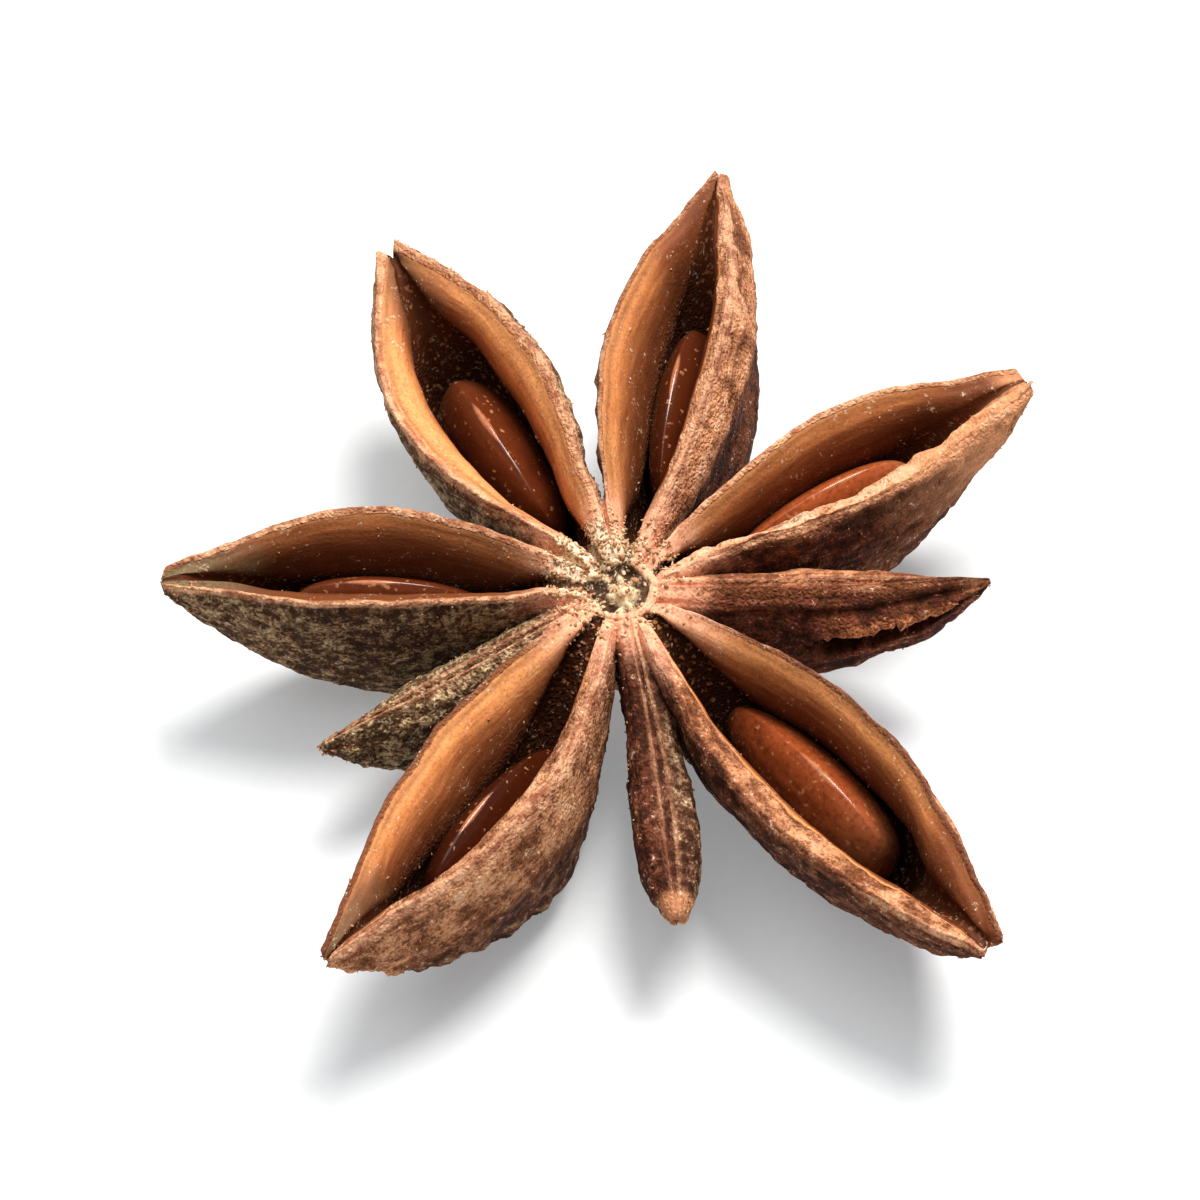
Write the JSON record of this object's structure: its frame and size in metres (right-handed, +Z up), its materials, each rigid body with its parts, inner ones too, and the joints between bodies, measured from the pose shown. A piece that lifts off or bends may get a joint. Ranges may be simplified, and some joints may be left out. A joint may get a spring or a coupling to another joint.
{
  "type": "star anise pod",
  "caption": "Dried star anise pod: pointed boat-shaped carpels around a short column, most of them split open over a glossy flat seed",
  "frame": {"origin": "On the table under the middle of the pod's bounding box; the column stands 0.8 mm along +X and 1.2 mm along -Y from it", "axes": "+Z up out of the open mouths, +Y along the pod's longest extent, away from the viewer, +X to the viewer's right"},
  "size_m": [0.0306, 0.0336, 0.0083],
  "materials": {
    "husk": "rough and dry outside, satin on the lips' inner bands",
    "seed": "smooth, glossy"
  },
  "bodies": {
    "root": {"pod": "husk", "seed_north": "seed", "seed_northeast": "seed", "seed_northwest": "seed", "seed_southeast": "seed", "seed_southwest": "seed", "seed_west": "seed"}
  },
  "joints": []
}
